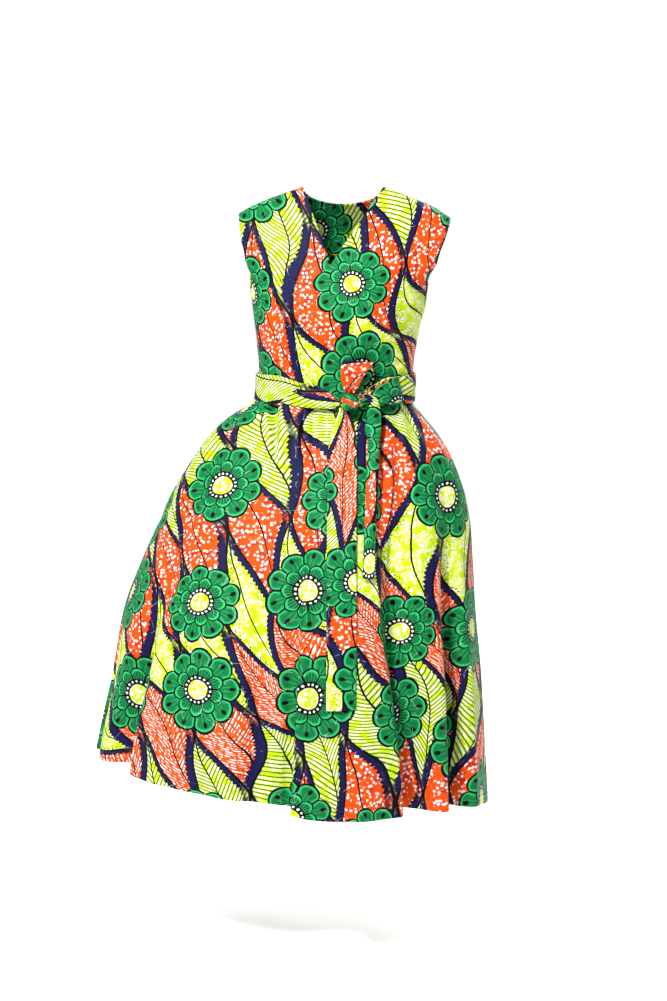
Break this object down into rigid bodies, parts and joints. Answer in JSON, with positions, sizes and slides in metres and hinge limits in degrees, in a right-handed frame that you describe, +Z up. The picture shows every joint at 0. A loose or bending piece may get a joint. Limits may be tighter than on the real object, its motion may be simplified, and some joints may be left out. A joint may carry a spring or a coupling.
{
  "type": "sleeveless dress with tied belt",
  "caption": "Sleeveless V-neck midi dress in waxed-print cotton: full skirt with soft waist pleats, side-seam pockets, and a belt tied in a bow at the front.",
  "frame": {"origin": "midway between the neck ends of the two shoulder seams, at their height", "axes": "+Z up, +X to the right as seen from the front, the front faces -Y"},
  "size_m": [0.7443, 0.6296, 1.1535],
  "materials": {
    "wax_print": "crisp printed cotton",
    "belt_cloth": "crisp printed cotton, two layers",
    "pocket_cloth": "printed cotton"
  },
  "bodies": {
    "root": {"bodice_front": "wax_print", "bodice_back": "wax_print", "skirt_front_upper": "wax_print", "skirt_front_lower": "wax_print", "skirt_back_upper": "wax_print", "skirt_back_lower": "wax_print", "pocket_left_front": "pocket_cloth", "pocket_left_back": "pocket_cloth", "pocket_right_front": "pocket_cloth", "pocket_right_back": "pocket_cloth", "belt_band": "belt_cloth", "belt_front_left": "belt_cloth", "belt_knot": "belt_cloth", "bow_loop_up": "belt_cloth", "bow_loop_right": "belt_cloth", "belt_tail_long": "belt_cloth", "belt_tail_short": "belt_cloth"}
  },
  "joints": []
}
